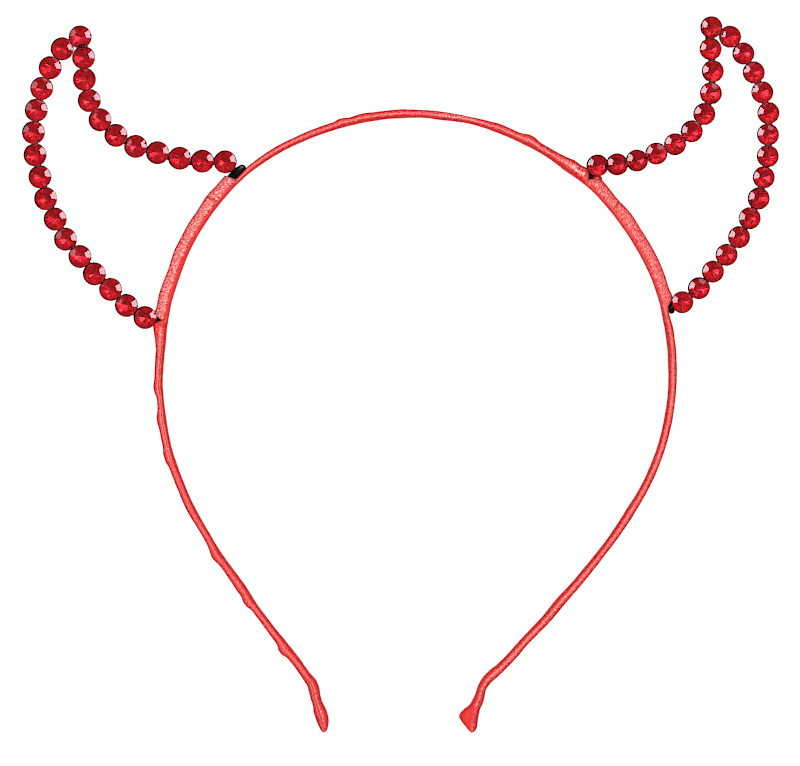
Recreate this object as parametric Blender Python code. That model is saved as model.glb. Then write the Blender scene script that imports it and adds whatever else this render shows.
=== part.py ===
"""Devil horns headband: a satin-covered hoop with two horns of red stones on black wire.

The headband lies flat, on one edge of its strip. +X is to the right as its front is seen,
+Y runs from the hoop's open ends to the horns, and +Z from the surface to the stones'
tables. The origin is on the surface, at the middle of the whole outline. Metres.
"""

import math
from collections import namedtuple

import bmesh
import bpy
import numpy as np
from mathutils import Matrix, Vector

MM = 0.001

# Hoop
HOOP_WIDTH = 121.2 * MM
HOOP_HEIGHT = 147.4 * MM
BAND_DEPTH = 5.4 * MM
BAND_THICKNESS = 2.15 * MM
BAND_UNDER_HORN = 1.0 * MM
BAND_ROUNDING = 0.35 * MM
SEAM_GROOVE = 0.2 * MM
END_ROUNDING = 1.6 * MM
END_FOLD = 9.6 * MM
STEP_LENGTH = 0.6 * MM

# Horn wire and its binding
ARM_DIAMETER = 1.6 * MM
ROD_DIAMETER = 1.45 * MM
RIBBON_WALL = 0.35 * MM
WRAP_CREST = 2.6 * MM
SEAT_GAP = 0.3 * MM

# Horns, measured from the middle of their feet
LEFT_HORN_RISE = 50.4 * MM
LEFT_HORN_REACH = 39.5 * MM
RIGHT_HORN_RISE = 51.9 * MM
RIGHT_HORN_REACH = 33.3 * MM

# Stone chain
STONE_DIAMETER = 4.7 * MM
TABLE_DIAMETER = 2.7 * MM
CROWN_HEIGHT = 0.95 * MM
CUP_WALL = 0.15 * MM
CUP_BASE_DIAMETER = 4.2 * MM
CUP_HEIGHT = 2.0 * MM
STONE_SEAT = 0.3 * MM
LINK_WIDTH = 2.1 * MM
LINK_HEIGHT = 0.8 * MM
LINK_REACH = 0.8 * MM
LEFT_CUP_GAP = 0.45 * MM
RIGHT_CUP_GAP = 0.12 * MM
LEFT_BARE_WIRE = 0.6 * MM

# Fineness of the solids
BAND_STEP = 2.3 * MM
END_STEP = 0.8 * MM
WRAP_STEP = 2.2 * MM
WIRE_STEP = 2.8 * MM
CUP_SIDES = 12
STONE_SIDES = 8
OCTAGON_FLAT = math.tan(math.pi / 8)

CUP_DIAMETER = STONE_DIAMETER + 2 * CUP_WALL
ROD_OUT = BAND_UNDER_HORN + SEAT_GAP + ROD_DIAMETER / 2
WRAP_INNER = BAND_UNDER_HORN + SEAT_GAP
WRAP_OUTER = ROD_OUT + ROD_DIAMETER / 2 + SEAT_GAP + RIBBON_WALL
WIRE_HEIGHT = BAND_DEPTH / 2
CHAIN_HEIGHT = WIRE_HEIGHT + ARM_DIAMETER / 2 + SEAT_GAP
FOOT_TO_STONE = CUP_DIAMETER / 2 + ROD_DIAMETER / 2 + SEAT_GAP

# Shares of the strip's thickness: what the rounding leaves at its ends, and one chamfer.
NARROWEST_END = 0.35
MOST_CHAMFER = 0.3

# A rod's rounded end: how far in and how thick, as shares of the rod's radius.
RodEnd = namedtuple("RodEnd", "along radius")
ROD_END = [RodEnd(0.0, 0.45), RodEnd(0.35, 0.8), RodEnd(1.0, 1.0)]

# The hoop's inner side from the left end over the crown to the right end:
# across is a share of HOOP_WIDTH from the middle, up a share of HOOP_HEIGHT.
Station = namedtuple("Station", "across up")
HOOP_LINE = [
    Station(-0.177, 0.000),
    Station(-0.184, 0.043),
    Station(-0.215, 0.101),
    Station(-0.283, 0.173),
    Station(-0.366, 0.271),
    Station(-0.439, 0.369),
    Station(-0.485, 0.467),
    Station(-0.501, 0.576),
    Station(-0.487, 0.685),
    Station(-0.436, 0.801),
    Station(-0.347, 0.895),
    Station(-0.227, 0.961),
    Station(-0.057, 1.000),
    Station(0.117, 0.988),
    Station(0.249, 0.942),
    Station(0.362, 0.870),
    Station(0.439, 0.784),
    Station(0.490, 0.670),
    Station(0.499, 0.583),
    Station(0.488, 0.491),
    Station(0.441, 0.393),
    Station(0.362, 0.296),
    Station(0.261, 0.198),
    Station(0.172, 0.118),
    Station(0.127, 0.077),
    Station(0.114, 0.043),
    Station(0.105, 0.000),
]

# Gathers of the ribbon: along is a share of the band's length from its left end,
# height and length are shares of BAND_THICKNESS.
Pucker = namedtuple("Pucker", "side along height length")
PUCKERS = [
    Pucker("inner", 0.009, 0.36, 1.00),
    Pucker("outer", 0.052, 0.20, 1.30),
    Pucker("outer", 0.089, 0.18, 1.30),
    Pucker("inner", 0.108, 0.30, 1.60),
    Pucker("outer", 0.124, 0.16, 1.30),
    Pucker("outer", 0.158, 0.16, 1.20),
    Pucker("outer", 0.192, 0.18, 1.20),
    Pucker("outer", 0.219, 0.22, 1.10),
    Pucker("outer", 0.237, 0.24, 1.10),
    Pucker("outer", 0.446, 0.14, 1.20),
    Pucker("outer", 0.461, 0.16, 1.10),
    Pucker("outer", 0.486, 0.16, 1.30),
    Pucker("inner", 0.506, 0.14, 1.20),
    Pucker("outer", 0.546, 0.16, 1.10),
    Pucker("outer", 0.569, 0.18, 1.20),
    Pucker("outer", 0.593, 0.16, 1.10),
    Pucker("inner", 0.896, 0.30, 1.50),
    Pucker("inner", 0.960, 0.36, 1.40),
    Pucker("inner", 0.990, 1.20, 0.85),
]

# Horn arms from the upper foot round the tip to the lower foot, as shares of the horn's
# reach (out, away from the middle of the headband) and of its rise (up).
Bend = namedtuple("Bend", "out up")
LEFT_ARMS = [
    Bend(-0.154, 0.410),
    Bend(-0.018, 0.408),
    Bend(0.261, 0.453),
    Bend(0.512, 0.539),
    Bend(0.664, 0.704),
    Bend(0.695, 0.903),
    Bend(0.716, 1.000),
    Bend(0.835, 0.935),
    Bend(0.950, 0.754),
    Bend(1.000, 0.542),
    Bend(0.961, 0.336),
    Bend(0.798, 0.036),
    Bend(0.532, -0.201),
    Bend(0.325, -0.335),
]
RIGHT_ARMS = [
    Bend(-0.225, 0.363),
    Bend(-0.088, 0.366),
    Bend(0.051, 0.383),
    Bend(0.313, 0.453),
    Bend(0.529, 0.586),
    Bend(0.600, 0.783),
    Bend(0.587, 0.887),
    Bend(0.590, 1.000),
    Bend(0.718, 0.960),
    Bend(0.893, 0.795),
    Bend(1.000, 0.607),
    Bend(0.995, 0.398),
    Bend(0.864, 0.114),
    Bend(0.609, -0.124),
    Bend(0.403, -0.256),
]

# Feet are shares of the band's length; bare ends are in rod diameters past a foot.
# bare_wire lies between the upper foot and the first cup, beyond the usual gap. crowding
# brings the stones of the upper arm closer together towards the tip.
Horn = namedtuple(
    "Horn",
    "side rise reach arms lower_foot upper_foot lower_end upper_end cup_gap bare_wire crowding",
)
HORNS = [
    Horn(
        side="left",
        rise=LEFT_HORN_RISE,
        reach=LEFT_HORN_REACH,
        arms=LEFT_ARMS,
        lower_foot=0.2800,
        upper_foot=0.3793,
        lower_end=0.6,
        upper_end=2.1,
        cup_gap=LEFT_CUP_GAP,
        bare_wire=LEFT_BARE_WIRE,
        crowding=0.045,
    ),
    Horn(
        side="right",
        rise=RIGHT_HORN_RISE,
        reach=RIGHT_HORN_REACH,
        arms=RIGHT_ARMS,
        lower_foot=0.7020,
        upper_foot=0.6089,
        lower_end=0.7,
        upper_end=0.6,
        cup_gap=RIGHT_CUP_GAP,
        bare_wire=0.0,
        crowding=0.0,
    ),
]
OUTWARD = {"left": -1, "right": 1}


class Line:
    """A smooth plane curve through a few points, read by the distance along it.

    Each stretch is a cubic whose second derivative runs straight from one point's value
    to the next one's, and is zero at both ends of the curve.
    """

    SAMPLES = 60
    NEARBY = 0.5 * MM

    def __init__(self, points):
        through = np.array(points, dtype=float)
        span = np.linalg.norm(np.diff(through, axis=0), axis=1)
        bend = self.second_derivatives(through, span)
        stretches = []
        for i, length in enumerate(span):
            after = np.linspace(0, length, self.SAMPLES, endpoint=False)[:, None]
            before = length - after
            stretches.append(
                (bend[i] * before**3 + bend[i + 1] * after**3) / (6 * length)
                + (through[i] / length - bend[i] * length / 6) * before
                + (through[i + 1] / length - bend[i + 1] * length / 6) * after
            )
        self.places = np.concatenate(stretches + [through[-1:]])
        steps = np.linalg.norm(np.diff(self.places, axis=0), axis=1)
        self.distances = np.concatenate([[0], np.cumsum(steps)])
        self.length = self.distances[-1]

    @staticmethod
    def second_derivatives(through, span):
        count = len(through)
        matrix = np.eye(count)
        slopes = np.zeros((count, 2))
        for i in range(1, count - 1):
            matrix[i, i - 1 : i + 2] = span[i - 1], 2 * (span[i - 1] + span[i]), span[i]
            after = (through[i + 1] - through[i]) / span[i]
            before = (through[i] - through[i - 1]) / span[i - 1]
            slopes[i] = 6 * (after - before)
        return np.linalg.solve(matrix, slopes)

    def distance_of(self, index):
        """Distance along the curve to one of the points that it was drawn through."""
        return self.distances[index * self.SAMPLES]

    def point(self, distance):
        x = np.interp(distance, self.distances, self.places[:, 0])
        y = np.interp(distance, self.distances, self.places[:, 1])
        return np.array([x, y])

    def direction(self, distance):
        near = self.point(max(distance - self.NEARBY, 0))
        far = self.point(min(distance + self.NEARBY, self.length))
        return (far - near) / np.linalg.norm(far - near)

    def offset(self, distance, out):
        """The point that lies out to the left of the curve, which is the hoop's outer side."""
        along_x, along_y = self.direction(distance)
        return self.point(distance) + out * np.array([-along_y, along_x])


def collection(name):
    made = bpy.data.collections.new(name)
    bpy.context.scene.collection.children.link(made)
    return made


def material(name, colour, roughness, metallic=0.0):
    made = bpy.data.materials.new(name)
    made.use_nodes = True
    shader = made.node_tree.nodes["Principled BSDF"]
    shader.inputs["Base Color"].default_value = (*colour, 1)
    shader.inputs["Roughness"].default_value = roughness
    shader.inputs["Metallic"].default_value = metallic
    made.diffuse_color = (*colour, 1)
    return made


def object_from(shape, name, home, finish=None):
    mesh = bpy.data.meshes.new(name)
    bmesh.ops.recalc_face_normals(shape, faces=shape.faces)
    shape.to_mesh(mesh)
    shape.free()
    made = bpy.data.objects.new(name, mesh)
    home.objects.link(made)
    if finish:
        made.data.materials.append(finish)
    return made


def loft(name, rings, home, finish):
    """One closed solid through rings of equally many points, with both ends capped."""
    shape = bmesh.new()
    loops = [[shape.verts.new(place) for place in ring] for ring in rings]
    for near, far in zip(loops, loops[1:]):
        for i in range(len(near)):
            j = (i + 1) % len(near)
            shape.faces.new((near[i], near[j], far[j], far[i]))
    shape.faces.new(loops[0])
    shape.faces.new(loops[-1])
    return object_from(shape, name, home, finish)


def tube(name, places, radii, home, finish):
    """A six-sided wire through the places, as a mesh with its caps welded."""
    curve = bpy.data.curves.new(name, "CURVE")
    curve.dimensions = "3D"
    curve.bevel_depth = max(radii)
    curve.bevel_resolution = 1
    curve.use_fill_caps = True
    run = curve.splines.new("POLY")
    run.points.add(len(places) - 1)
    for knot, place, radius in zip(run.points, places, radii):
        knot.co = (*place, 1)
        knot.radius = radius / curve.bevel_depth
    wire = bpy.data.objects.new(name + "_line", curve)
    home.objects.link(wire)
    bpy.context.view_layer.update()
    mesh = bpy.data.meshes.new_from_object(wire.evaluated_get(bpy.context.evaluated_depsgraph_get()))
    shape = bmesh.new()
    shape.from_mesh(mesh)
    bmesh.ops.remove_doubles(shape, verts=shape.verts, dist=0.001 * MM)
    bpy.data.objects.remove(wire)
    return object_from(shape, name, home, finish)


def join(base, cutter):
    """Fuses the cutter's solids to the base, which keeps the modifier."""
    cutter.hide_render = True
    cutter.display_type = "WIRE"
    union = base.modifiers.new("fused", "BOOLEAN")
    union.operation = "UNION"
    union.solver = "EXACT"
    union.use_self = True
    union.object = cutter


def hoop_line():
    return Line([(row.across * HOOP_WIDTH, row.up * HOOP_HEIGHT) for row in HOOP_LINE])


def rod_span(horn, hoop):
    """Where the horn's rod starts and ends, as distances along the hoop."""
    lower = horn.lower_foot * hoop.length
    upper = horn.upper_foot * hoop.length
    ahead = math.copysign(1, upper - lower)
    ends = (
        lower - ahead * horn.lower_end * ROD_DIAMETER,
        upper + ahead * horn.upper_end * ROD_DIAMETER,
    )
    return min(ends), max(ends)


def wrap_span(horn, hoop):
    """The wrap stops short of each foot by what clears the cup of the last stone there."""
    reach = CUP_DIAMETER / 2 + SEAT_GAP
    beside = FOOT_TO_STONE - (WRAP_OUTER - ROD_OUT)
    inset = math.sqrt(max(reach**2 - beside**2, (ARM_DIAMETER / 2 + SEAT_GAP) ** 2))
    feet = sorted((horn.lower_foot * hoop.length, horn.upper_foot * hoop.length))
    return feet[0] + inset, feet[1] - inset


def thin_spans(hoop):
    """Stretches where the band gives room to a rod, its bare ends included."""
    spans = []
    for horn in HORNS:
        start, end = rod_span(horn, hoop)
        spans.append((start - SEAT_GAP, end + SEAT_GAP))
    return spans


def eased(share):
    share = min(max(share, 0.0), 1.0)
    return share * share * (3 - 2 * share)


def band_thickness(distance, hoop):
    thin = 0.0
    for start, end in thin_spans(hoop):
        inside = min(distance - (start - STEP_LENGTH), (end + STEP_LENGTH) - distance)
        thin = max(thin, eased(inside / STEP_LENGTH))
    return BAND_THICKNESS + (BAND_UNDER_HORN - BAND_THICKNESS) * thin


def pucker_height(side, distance, hoop):
    total = 0.0
    for row in PUCKERS:
        if row.side == side:
            away = (distance - row.along * hoop.length) / (row.length * BAND_THICKNESS)
            total += row.height * BAND_THICKNESS * math.exp(-(away**2))
    return total


def band_stations(hoop):
    """Distances along the band: close at the ends and at the steps, wider between them."""
    rounded = END_ROUNDING * (1 - np.cos(np.linspace(0, math.pi / 2, 5)))
    marks = list(rounded) + [END_FOLD, hoop.length - END_FOLD] + list(hoop.length - rounded)
    for start, end in thin_spans(hoop):
        marks += [start - STEP_LENGTH, start, end, end + STEP_LENGTH]
    marks = sorted(marks)
    stations = []
    for near, far in zip(marks, marks[1:]):
        ending = far <= END_FOLD or near >= hoop.length - END_FOLD
        step = END_STEP if ending else BAND_STEP
        count = max(1, round((far - near) / step))
        stations += list(np.linspace(near, far, count, endpoint=False))
    return stations + [marks[-1]]


def band_ring(distance, hoop):
    """The strip's section: chamfered edges, flat below, the ribbon's seam as a groove above."""
    to_end = min(distance, hoop.length - distance)
    full = math.sqrt(max(1 - max(1 - to_end / END_ROUNDING, 0) ** 2, NARROWEST_END**2))
    thickness = band_thickness(distance, hoop)
    inner = -pucker_height("inner", distance, hoop)
    outer = thickness + pucker_height("outer", distance, hoop)
    middle = (inner + outer) / 2
    inner = middle + (inner - middle) * full
    outer = middle + (outer - middle) * full
    corner = min(BAND_ROUNDING, (outer - inner) * MOST_CHAMFER)
    groove = SEAM_GROOVE * (thickness - BAND_UNDER_HORN) / (BAND_THICKNESS - BAND_UNDER_HORN) * full
    section = [
        (inner, corner),
        (inner, BAND_DEPTH - corner),
        (inner + corner, BAND_DEPTH),
        (middle, BAND_DEPTH - groove),
        (outer - corner, BAND_DEPTH),
        (outer, BAND_DEPTH - corner),
        (outer, corner),
        (outer - corner, 0),
        (inner + corner, 0),
    ]
    return [(*hoop.offset(distance, out), height) for out, height in section]


def satin_band(hoop, home, finish):
    rings = [band_ring(distance, hoop) for distance in band_stations(hoop)]
    return loft("satin_band", rings, home, finish)


def wrap_ring(distance, hoop):
    """A tent of ribbon over the rod: full depth at the band, narrow at its crest, hollow inside."""
    crest = WRAP_CREST / 2
    ridge = crest * OCTAGON_FLAT
    room = ROD_DIAMETER / 2 + SEAT_GAP
    flat = room * OCTAGON_FLAT
    eaves = WRAP_INNER + RIBBON_WALL
    slope = WRAP_OUTER - RIBBON_WALL
    section = [
        (WRAP_INNER, BAND_DEPTH),
        (eaves, BAND_DEPTH),
        (slope, WIRE_HEIGHT + crest),
        (WRAP_OUTER, WIRE_HEIGHT + ridge),
        (WRAP_OUTER, WIRE_HEIGHT - ridge),
        (slope, WIRE_HEIGHT - crest),
        (eaves, 0),
        (WRAP_INNER, 0),
        (WRAP_INNER, WIRE_HEIGHT - room),
        (ROD_OUT + flat, WIRE_HEIGHT - room),
        (ROD_OUT + room, WIRE_HEIGHT - flat),
        (ROD_OUT + room, WIRE_HEIGHT + flat),
        (ROD_OUT + flat, WIRE_HEIGHT + room),
        (WRAP_INNER, WIRE_HEIGHT + room),
    ]
    return [(*hoop.offset(distance, out), height) for out, height in section]


def horn_wrap(horn, hoop, home, finish):
    start, end = wrap_span(horn, hoop)
    count = max(2, round((end - start) / WRAP_STEP))
    rings = [wrap_ring(distance, hoop) for distance in np.linspace(start, end, count + 1)]
    return loft("horn_wrap_" + horn.side, rings, home, finish)


def arms_line(horn, hoop):
    """The two arms as one curve, which starts and ends on the rod's middle."""
    upper = hoop.offset(horn.upper_foot * hoop.length, ROD_OUT)
    lower = hoop.offset(horn.lower_foot * hoop.length, ROD_OUT)
    middle = (upper + lower) / 2
    scale = np.array([OUTWARD[horn.side] * horn.reach, horn.rise])
    bends = [middle + scale * np.array(row) for row in horn.arms]
    return Line([upper] + bends + [lower])


def horn_frame(horn, hoop, home, helpers, finish):
    """The arms' wire soldered to the rod, whose bare ends are rounded."""
    arms = arms_line(horn, hoop)
    count = round(arms.length / WIRE_STEP)
    places = [(*arms.point(d), WIRE_HEIGHT) for d in np.linspace(0, arms.length, count + 1)]
    frame = tube("horn_frame_" + horn.side, places, [ARM_DIAMETER / 2] * len(places), home, finish)

    start, end = rod_span(horn, hoop)
    radius = ROD_DIAMETER / 2
    rounding = [row.along * radius for row in ROD_END]
    thinning = [row.radius * radius for row in ROD_END]
    even = np.linspace(start + ROD_DIAMETER, end - ROD_DIAMETER, round((end - start) / WIRE_STEP))
    distances = [start + d for d in rounding] + list(even) + [end - d for d in reversed(rounding)]
    radii = thinning + [radius] * len(even) + thinning[::-1]
    rod = tube(
        "rod_" + horn.side,
        [(*hoop.offset(d, ROD_OUT), WIRE_HEIGHT) for d in distances],
        radii,
        helpers,
        finish,
    )
    join(frame, rod)
    return frame


def stone_places(horn, arms):
    """Stone centres from the upper foot to the lower, one of them on the tip.

    The tip is the highest bend; the curve has one point more, the foot, before the bends.
    """
    heights = [row.up for row in horn.arms]
    tip = arms.distance_of(heights.index(max(heights)) + 1)
    pitch = CUP_DIAMETER + horn.cup_gap
    first = FOOT_TO_STONE + horn.bare_wire
    share = np.linspace(0, 1, round((tip - first) / pitch) + 1)
    inner = first + (tip - first) * (share + horn.crowding * share * (1 - share))
    last = arms.length - FOOT_TO_STONE
    outer = np.linspace(tip, last, round((last - tip) / pitch) + 1)
    return np.concatenate([inner, outer[1:]])


def upright(place, height, direction):
    """A frame that stands at the place, turned so that its X runs along the direction."""
    turn = Matrix.Rotation(math.atan2(direction[1], direction[0]), 4, "Z")
    return Matrix.Translation(Vector((*place, height))) @ turn


def cups(distances, arms):
    shape = bmesh.new()
    for distance in distances:
        bmesh.ops.create_cone(
            shape,
            cap_ends=True,
            segments=CUP_SIDES,
            radius1=CUP_BASE_DIAMETER / 2,
            radius2=CUP_DIAMETER / 2,
            depth=CUP_HEIGHT,
            matrix=upright(arms.point(distance), CHAIN_HEIGHT + CUP_HEIGHT / 2, arms.direction(distance)),
        )
    return shape


def add_stones(shape, distances, arms):
    """Octagons with a flat table and eight sloping facets, sunk a little into their cups."""
    depth = CROWN_HEIGHT + STONE_SEAT
    height = CHAIN_HEIGHT + CUP_HEIGHT - STONE_SEAT + depth / 2
    flat_on = Matrix.Rotation(math.pi / STONE_SIDES, 4, "Z")
    for distance in distances:
        bmesh.ops.create_cone(
            shape,
            cap_ends=True,
            segments=STONE_SIDES,
            radius1=STONE_DIAMETER / 2,
            radius2=TABLE_DIAMETER / 2,
            depth=depth,
            matrix=upright(arms.point(distance), height, arms.direction(distance)) @ flat_on,
        )


def add_links(shape, distances, arms):
    """Flat bars from cup to cup, each reaching a little way into both."""
    height = CHAIN_HEIGHT + LINK_REACH / 2 + LINK_HEIGHT / 2
    for near, far in zip(distances, distances[1:]):
        start = arms.point(near)
        end = arms.point(far)
        apart = np.linalg.norm(end - start)
        length = apart - 2 * (CUP_BASE_DIAMETER / 2 - LINK_REACH)
        size = Matrix.Diagonal((length, LINK_WIDTH, LINK_HEIGHT, 1))
        place = upright((start + end) / 2, height, (end - start) / apart) @ size
        bmesh.ops.create_cube(shape, size=1, matrix=place)


def stone_chain(horn, hoop, home, helpers, finish):
    arms = arms_line(horn, hoop)
    distances = stone_places(horn, arms)
    chain = object_from(cups(distances, arms), "stone_chain_" + horn.side, home, finish)
    filling = bmesh.new()
    add_stones(filling, distances, arms)
    add_links(filling, distances, arms)
    join(chain, object_from(filling, "stones_" + horn.side, helpers))
    return chain


def centre_on_origin(objects):
    """Hangs everything on one empty that brings the middle of the outline to the origin."""
    bpy.context.view_layer.update()
    corners = [made.matrix_world @ Vector(corner) for made in objects for corner in made.bound_box]
    middle = [(min(c[axis] for c in corners) + max(c[axis] for c in corners)) / 2 for axis in (0, 1)]
    base = bpy.data.objects.new("headband", None)
    bpy.context.scene.collection.objects.link(base)
    base.location = (-middle[0], -middle[1], 0)
    for made in bpy.data.objects:
        if made.type == "MESH":
            made.parent = base


def main():
    for made in list(bpy.data.objects):
        bpy.data.objects.remove(made)
    home = collection("devil_horns_headband")
    helpers = collection("fused_in")
    satin = material("red_satin", (0.62, 0.03, 0.03), 0.42)
    black = material("black_wire", (0.01, 0.01, 0.012), 0.25, 0.6)
    glass = material("red_stone", (0.35, 0.0, 0.02), 0.08)

    hoop = hoop_line()
    pieces = [satin_band(hoop, home, satin)]
    for horn in HORNS:
        pieces.append(horn_wrap(horn, hoop, home, satin))
        pieces.append(horn_frame(horn, hoop, home, helpers, black))
        pieces.append(stone_chain(horn, hoop, home, helpers, glass))
    centre_on_origin(pieces)


main()
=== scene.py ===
"""Looks of the devil horns headband: red satin ribbon glued round a thin hoop, and two horns
of red glass stones, set in black cups on black wire. Metres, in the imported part's frame.

The headband lies flat. +X is to the right as its front is seen, +Y runs from the hoop's open
ends to the horns, and +Z up to the stones' tables.
"""

import math
from collections import namedtuple
from types import SimpleNamespace

import bpy
import numpy as np
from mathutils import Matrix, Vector


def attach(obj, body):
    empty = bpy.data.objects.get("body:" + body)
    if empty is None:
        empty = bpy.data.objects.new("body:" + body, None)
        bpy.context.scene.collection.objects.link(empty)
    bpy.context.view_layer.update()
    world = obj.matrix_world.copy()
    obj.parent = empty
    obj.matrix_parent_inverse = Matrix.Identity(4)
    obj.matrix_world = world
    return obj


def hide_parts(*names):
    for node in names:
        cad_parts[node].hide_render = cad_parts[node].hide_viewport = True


MM = 0.001
CM_IN_METRE = 100
CRISPNESS = 0.028
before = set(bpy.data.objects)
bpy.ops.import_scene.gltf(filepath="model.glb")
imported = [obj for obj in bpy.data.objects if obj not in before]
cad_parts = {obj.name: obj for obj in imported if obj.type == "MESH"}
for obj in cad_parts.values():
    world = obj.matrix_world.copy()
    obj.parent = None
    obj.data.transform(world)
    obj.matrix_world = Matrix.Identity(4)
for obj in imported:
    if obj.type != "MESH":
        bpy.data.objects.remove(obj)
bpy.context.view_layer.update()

# Hoop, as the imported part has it
HOOP_WIDTH = 121.2 * MM
HOOP_HEIGHT = 147.4 * MM
HOOP_FOOT = np.array([3.379, -85.722]) * MM
BAND_DEPTH = 5.4 * MM
BAND_UNDER_HORN = 1.0 * MM
END_ROUNDING = 0.9 * MM
FRONT_RISE = 0.95 * MM

# Horn wire and the ribbon that binds it
ARM_RADIUS = 0.8 * MM
ROD_RADIUS = 0.725 * MM
SEAT_GAP = 0.3 * MM
WIRE_HEIGHT = BAND_DEPTH / 2
ROD_OUT = BAND_UNDER_HORN + SEAT_GAP + ROD_RADIUS

# Stones and cups
STONE_RADIUS = 2.54 * MM
TABLE_RADIUS = 1.42 * MM
CUP_RADIUS = 2.5 * MM
STONE_IN_CUP = 0.97
CUP_SHIFT = np.array([-0.09, 0.05]) * MM
CHAIN_HEIGHT = WIRE_HEIGHT + ARM_RADIUS + SEAT_GAP
TABLE_HEIGHT = 6.72 * MM
GIRDLE_HEIGHT = 5.80 * MM
CULET_HEIGHT = 4.10 * MM
FOOT_TO_STONE = CUP_RADIUS + ROD_RADIUS + SEAT_GAP


def named_rows(kind, *rows):
    """A table's rows, with a name for each of its columns."""
    return [kind(*row) for row in rows]


# The hoop's inner side from the left end over the crown to the right end:
# across is a share of HOOP_WIDTH from the middle, up a share of HOOP_HEIGHT.
Station = namedtuple("Station", "across up")
HOOP_LINE = named_rows(
    Station, (-0.177, 0), (-0.184, 0.043), (-0.215, 0.101), (-0.283, 0.173), (-0.366, 0.271),
    (-0.439, 0.369), (-0.485, 0.467), (-0.501, 0.576), (-0.487, 0.685), (-0.436, 0.801),
    (-0.347, 0.895), (-0.227, 0.961), (-0.057, 1), (0.117, 0.988), (0.249, 0.942),
    (0.362, 0.87), (0.439, 0.784), (0.49, 0.67), (0.499, 0.583), (0.488, 0.491), (0.441, 0.393),
    (0.362, 0.296), (0.261, 0.198), (0.172, 0.118), (0.127, 0.077), (0.114, 0.043), (0.105, 0),
)

# The ribbon's inner and outer sides along the hoop: all in millimetres, counted outwards
# from the hoop's inner side.
Side = namedtuple("Side", "along inner outer")
SIDES = named_rows(
    Side, (0, 0, 2.1), (15, 0.1, 2.1), (21, 0.2, 2.3), (30, 0.1, 1.9), (36, 0.2, 1.9),
    (41, -0.1, 2.2), (50, 0.5, 2.3), (57, 0.3, 2), (63, 0.3, 2.2), (70, 0.1, 2), (78, 0.2, 2.1),
    (84, 0.1, 2), (90, 0.2, 1.6), (94, 0.3, 2.2), (104, 0, 2), (114, 0.4, 2.1), (120, 0.2, 2.1),
    (128, 0.4, 2.1), (134, 0.3, 2.1), (151, 0.6, 1.9), (159, 0.4, 2), (166, 0.2, 1.8),
    (174, 0, 1.7), (189, 0, 1.9), (196, 0.2, 1.8), (199, -0.1, 1.8), (207, 0.4, 1.8),
    (213, 0.2, 2.1), (226, 0.2, 2.2), (232, -0.1, 2.6), (240, 0.3, 2.6), (252, 0.1, 2.2),
    (264, 0.3, 2.2), (273, 0.3, 2), (277, 0.1, 2), (284, 0.3, 2.2), (293, 0.3, 2.1),
    (303, 0, 1.8), (317, 0.1, 1.9), (323, -0.1, 1.9), (335, 0.1, 1.9), (347, 0.1, 2.1),
    (351, -0.1, 2.1), (356, 0.1, 2.2), (364, -0.2, 1.7), (373, 0.1, 2.2), (391, 0.1, 2.2),
)

# Where the ribbon gives room to a rod, its outer side there, in millimetres too.
Room = namedtuple("Room", "along outer")
ROOM = named_rows(
    Room, (111, 1), (144, 1), (149, 1.6), (150.3, 1.7), (151.2, 2), (155, 2), (237, 0.8),
    (270, 0.8), (274, 1.7),
)

# The ribbon's loose folds by the left rod's lower end and the right rod's upper end.
LEFT_FLAP = named_rows(
    Room, (102, 0), (102.5, 2.1), (104.5, 2.5), (106.5, 3.1), (107.8, 3.5), (108.4, 3.5),
    (108.8, 2.7), (109.3, 1.7), (109.6, 0),
)
RIGHT_LUMP = named_rows(
    Room, (228.5, 0), (229, 2.4), (231, 2.7), (232.5, 3.1), (234.5, 3.1), (235.5, 3.3),
    (236.2, 3.8), (237, 3), (237.9, 1.9), (238.2, 0),
)

# Outer side of the ribbon that binds each rod, from the hoop's inner side.
LEFT_WRAP = named_rows(
    Room, (108, 3.2), (109.4, 3.3), (110.6, 3.8), (111.8, 3.4), (115.2, 3.6), (118.5, 3.4),
    (121.5, 3.2), (125.5, 3.6), (129, 3.5), (132.5, 3.6), (136, 3.5), (140.2, 3.9),
    (142.7, 3.7), (145.5, 3.8),
)
RIGHT_WRAP = named_rows(
    Room, (237, 3.6), (240.5, 3.6), (242.5, 3.4), (245.5, 3.1), (250.5, 3.5), (254.5, 3.3),
    (262.5, 3.5), (266.5, 3.4), (269.5, 3.2), (271.4, 3.5), (273, 3.3),
)

# Gathers of the ribbon, in millimetres. sharp is 2 for a soft swelling, more for a square one.
Gather = namedtuple("Gather", "along height length sharp")
GATHERS = named_rows(
    Gather, (23.2, 0.6, 2.4, 3), (37.3, 0.5, 2.4, 3), (51, 0.55, 3.2, 2), (76.9, 0.35, 2.8, 3),
    (85.9, 0.42, 2.8, 2), (93.2, 0.3, 2.4, 3), (175.8, 0.34, 2.2, 3), (181, 0.24, 3.2, 2),
    (190, 0.1, 3, 2), (213.8, 0.15, 3.2, 2), (221.3, 0.55, 3, 3),
)

# The lengthwise crease of the ribbon's front edge: how far out of its middle, as a share of
# its half width, and how deep in millimetres.
Crease = namedtuple("Crease", "along out depth")
CREASES = named_rows(
    Crease, (0, 0.2, 0.1), (13, 0.2, 0.1), (16, 0, 0), (57, -0.2, 0), (61, -0.2, 0.05),
    (74, -0.2, 0.05), (79, -0.25, 0.1), (101, -0.4, 0.1), (104, -0.4, 0), (174, -0.6, 0),
    (178, -0.6, 0.08), (189, -0.6, 0.08), (192, -0.5, 0), (272, -0.4, 0), (277, -0.4, 0.06),
    (290, -0.4, 0), (391, 0.3, 0),
)

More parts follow.
